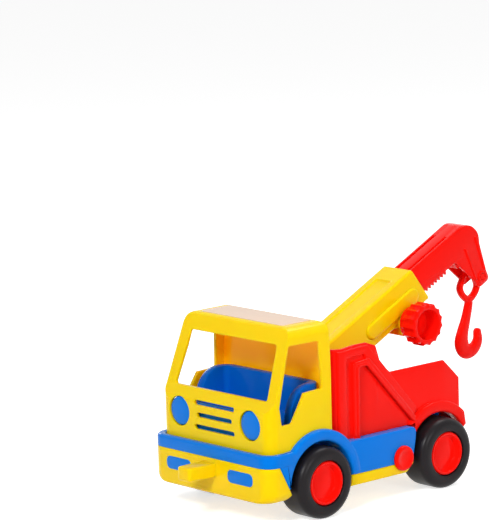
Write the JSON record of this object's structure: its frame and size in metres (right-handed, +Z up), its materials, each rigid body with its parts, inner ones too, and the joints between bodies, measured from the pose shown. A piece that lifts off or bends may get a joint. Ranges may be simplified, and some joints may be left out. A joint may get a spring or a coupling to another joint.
{
  "type": "toy tow truck",
  "caption": "Push-along plastic tow truck with a hollow cab, an open bed, a tilting boom, a jib that knobs wind in and out, and a swinging hook.",
  "frame": {"origin": "middle of the bounding box at floor height, between the wheels", "axes": "+X forward past the cab, +Y to the truck's left, +Z up"},
  "size_m": [0.4044, 0.177, 0.2334],
  "materials": {
    "yellow_plastic": "semi-gloss moulded plastic",
    "blue_plastic": "semi-gloss moulded plastic",
    "red_plastic": "semi-gloss moulded plastic",
    "tyre_plastic": "matt dark grey",
    "axle_steel": "plain drawn rod",
    "label_film": "plain film, no print"
  },
  "bodies": {
    "truck_body": {"floor_pan": "yellow_plastic", "chassis": "blue_plastic", "bumper_lamp_left": "blue_plastic", "bumper_lamp_right": "blue_plastic", "side_cap_left": "red_plastic", "side_cap_right": "red_plastic", "cab": "yellow_plastic", "lamp_panel": "blue_plastic", "seat": "blue_plastic", "roof_label": "label_film", "bed": "red_plastic"},
    "front_wheels": {"front_axle": "axle_steel", "hub_front_left": "red_plastic", "hub_front_right": "red_plastic", "tyre_front_left": "tyre_plastic", "tyre_front_right": "tyre_plastic"},
    "rear_wheels": {"rear_axle": "axle_steel", "hub_rear_left": "red_plastic", "hub_rear_right": "red_plastic", "tyre_rear_left": "tyre_plastic", "tyre_rear_right": "tyre_plastic"},
    "boom": {"boom_sleeve": "yellow_plastic", "boom_pin": "axle_steel"},
    "jib_arm": {"jib": "red_plastic", "hook_pin": "red_plastic"},
    "winder": {"winder_shaft": "red_plastic", "knob_left": "red_plastic", "knob_right": "red_plastic"},
    "tow_hook": {"hook": "red_plastic"}
  },
  "joints": [
    {"name": "front_roll", "type": "hinge", "parent": "truck_body", "child": "front_wheels", "pos_m": [0.1022, 0, 0.034], "axis": [0, 1, 0], "continuous": true},
    {"name": "rear_roll", "type": "hinge", "parent": "truck_body", "child": "rear_wheels", "pos_m": [-0.0558, 0, 0.034], "axis": [0, 1, 0], "continuous": true},
    {"name": "boom_tilt", "type": "hinge", "parent": "truck_body", "child": "boom", "pos_m": [0.0329, 0, 0.1246], "axis": [0, 1, 0], "range_deg": [-13.5, 20]},
    {"name": "jib_slide", "type": "slide", "parent": "boom", "child": "jib_arm", "axis": [-0.8988, 0, 0.4384], "range_m": [-0.028, 0.027]},
    {"name": "winder_turn", "type": "hinge", "parent": "boom", "child": "winder", "pos_m": [-0.0732, 0, 0.1516], "axis": [0, 1, 0], "range_deg": [-215, 215]},
    {"name": "hook_swing", "type": "hinge", "parent": "jib_arm", "child": "tow_hook", "pos_m": [-0.18448, -0.005, 0.17917], "axis": [0, 1, 0], "range_deg": [-30, 30]}
  ],
  "couplings": [
    {"joint": "winder_turn", "follows": "jib_slide", "rad_per_m": -133.33}
  ]
}
